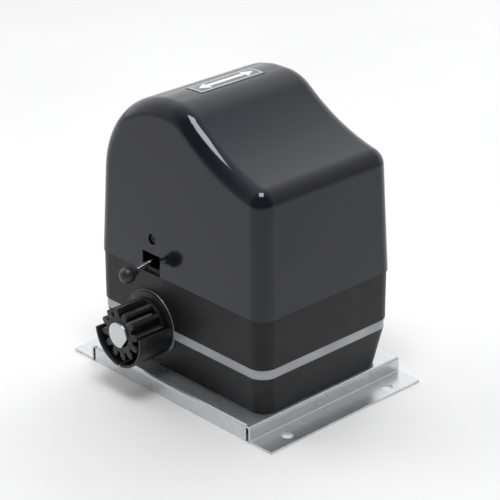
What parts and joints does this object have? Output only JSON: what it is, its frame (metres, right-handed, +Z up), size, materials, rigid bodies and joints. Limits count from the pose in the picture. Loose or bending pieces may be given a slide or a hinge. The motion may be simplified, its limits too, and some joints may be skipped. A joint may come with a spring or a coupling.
{
  "type": "sliding gate opener",
  "caption": "Rack-and-pinion sliding gate opener: wave-topped cover, black housings with a light band, guarded pinion, limit lever, folded steel base plate.",
  "frame": {"origin": "centre of the four foot holes, at ground level under the base plate", "axes": "+Z up; -Y is the side with the pinion and the limit lever; +X is the low end under the wave of the cover"},
  "size_m": [0.302, 0.2445, 0.3111],
  "materials": {
    "galvanised_sheet": "brushed, bright galvanised",
    "zinc_fasteners": "zinc plated",
    "black_housing": "satin, fine grain",
    "cast_aluminium": "satin, light grey",
    "gloss_cover": "glossy anthracite",
    "label_film": "silver film",
    "black_screws": "blackened",
    "zinc_sheet": "zinc plated sheet",
    "black_nylon": "moulded, satin",
    "machined_steel": "turned",
    "bearing_steel": "ground",
    "seal_rubber": "matt",
    "bronze": "cut",
    "cast_steel": "cast",
    "brass_lock": "polished",
    "motor_aluminium": "cast, ribbed",
    "lamination_steel": "stacked laminations",
    "copper_winding": "lacquered",
    "capacitor_can": "satin",
    "coil_tape": "polyester tape",
    "circuit_board": "solder mask",
    "terminal_plastic": "moulded",
    "relay_plastic": "moulded",
    "switch_plastic": "moulded",
    "spring_steel": "drawn wire",
    "chrome_rod": "mirror polished",
    "black_knob": "glossy"
  },
  "bodies": {
    "base": {"base_plate": "galvanised_sheet", "base_screws": "zinc_fasteners", "lower_housing": "black_housing", "gearbox_body": "cast_aluminium", "gearbox_cover": "cast_aluminium", "gearbox_screws": "zinc_fasteners", "middle_housing": "black_housing", "housing_screws": "zinc_fasteners", "front_bracket": "zinc_sheet", "rear_bracket": "zinc_sheet", "pinion_guard": "black_nylon", "guard_screws": "black_screws", "output_bearing_outers": "bearing_steel", "oil_seal": "seal_rubber", "motor_casing": "motor_aluminium", "motor_end_bell": "motor_aluminium", "motor_bolts": "zinc_fasteners", "stator_core": "lamination_steel", "stator_windings": "copper_winding", "motor_bearing_outers": "bearing_steel", "capacitor": "capacitor_can", "capacitor_clamp": "zinc_sheet", "transformer_core": "lamination_steel", "transformer_coil": "coil_tape", "board_bracket": "zinc_sheet", "control_board": "circuit_board", "board_standoffs": "brass_lock", "terminal_blocks": "terminal_plastic", "relays": "relay_plastic", "receiver_module": "circuit_board", "fuse_holder": "black_nylon", "limit_switch_housing": "black_nylon", "limit_switches": "switch_plastic", "lever_pivot_pin": "machined_steel", "lever_spring": "spring_steel", "cable_gland": "black_nylon"},
    "output": {"pinion": "black_nylon", "pinion_set_screw": "zinc_fasteners", "output_shaft": "machined_steel", "feather_key": "machined_steel", "output_bearing_inners": "bearing_steel", "output_bearing_balls": "bearing_steel", "worm_wheel": "bronze"},
    "clutch": {"clutch_ring": "machined_steel"},
    "fork": {"clutch_fork": "cast_steel"},
    "release": {"release_shaft": "machined_steel", "release_handle": "black_nylon"},
    "lock": {"lock_cylinder": "brass_lock"},
    "rotor": {"rotor_core": "lamination_steel", "worm_shaft": "machined_steel", "motor_bearing_inners": "bearing_steel"},
    "lever": {"limit_lever": "chrome_rod", "lever_knob": "black_knob"},
    "cover": {"top_cover": "gloss_cover", "cover_label": "label_film", "cover_screws": "black_screws"}
  },
  "joints": [
    {"name": "output_spin", "type": "hinge", "parent": "base", "child": "output", "pos_m": [-0.0405, 0, 0.0695], "axis": [0, 1, 0], "continuous": true},
    {"name": "motor_spin", "type": "hinge", "parent": "base", "child": "rotor", "pos_m": [-0.0005, 0, 0.0695], "axis": [0, 0, 1], "continuous": true},
    {"name": "release_turn", "type": "hinge", "parent": "base", "child": "release", "pos_m": [-0.068, 0, 0.098], "axis": [0, -1, 0], "range_deg": [0, 90]},
    {"name": "fork_slide", "type": "slide", "parent": "base", "child": "fork", "axis": [0, -1, 0], "range_m": [0, 0.005]},
    {"name": "clutch_slide", "type": "slide", "parent": "output", "child": "clutch", "axis": [0, -1, 0], "range_m": [0, 0.005]},
    {"name": "lock_turn", "type": "hinge", "parent": "release", "child": "lock", "pos_m": [-0.068, 0, 0.098], "axis": [0, -1, 0], "range_deg": [0, 90]},
    {"name": "lever_swing", "type": "hinge", "parent": "base", "child": "lever", "pos_m": [-0.038, -0.061, 0], "axis": [0, 0, 1], "range_deg": [-15, 15], "stiffness_Nm_per_rad": 0.2},
    {"name": "cover_lift", "type": "slide", "parent": "base", "child": "cover", "axis": [0, 0, 1], "range_m": [0, 0.25]}
  ],
  "couplings": [
    {"joint": "motor_spin", "follows": "output_spin", "ratio": 30},
    {"joint": "fork_slide", "follows": "release_turn", "m_per_rad": 0.0031831},
    {"joint": "clutch_slide", "follows": "release_turn", "m_per_rad": 0.0031831}
  ]
}
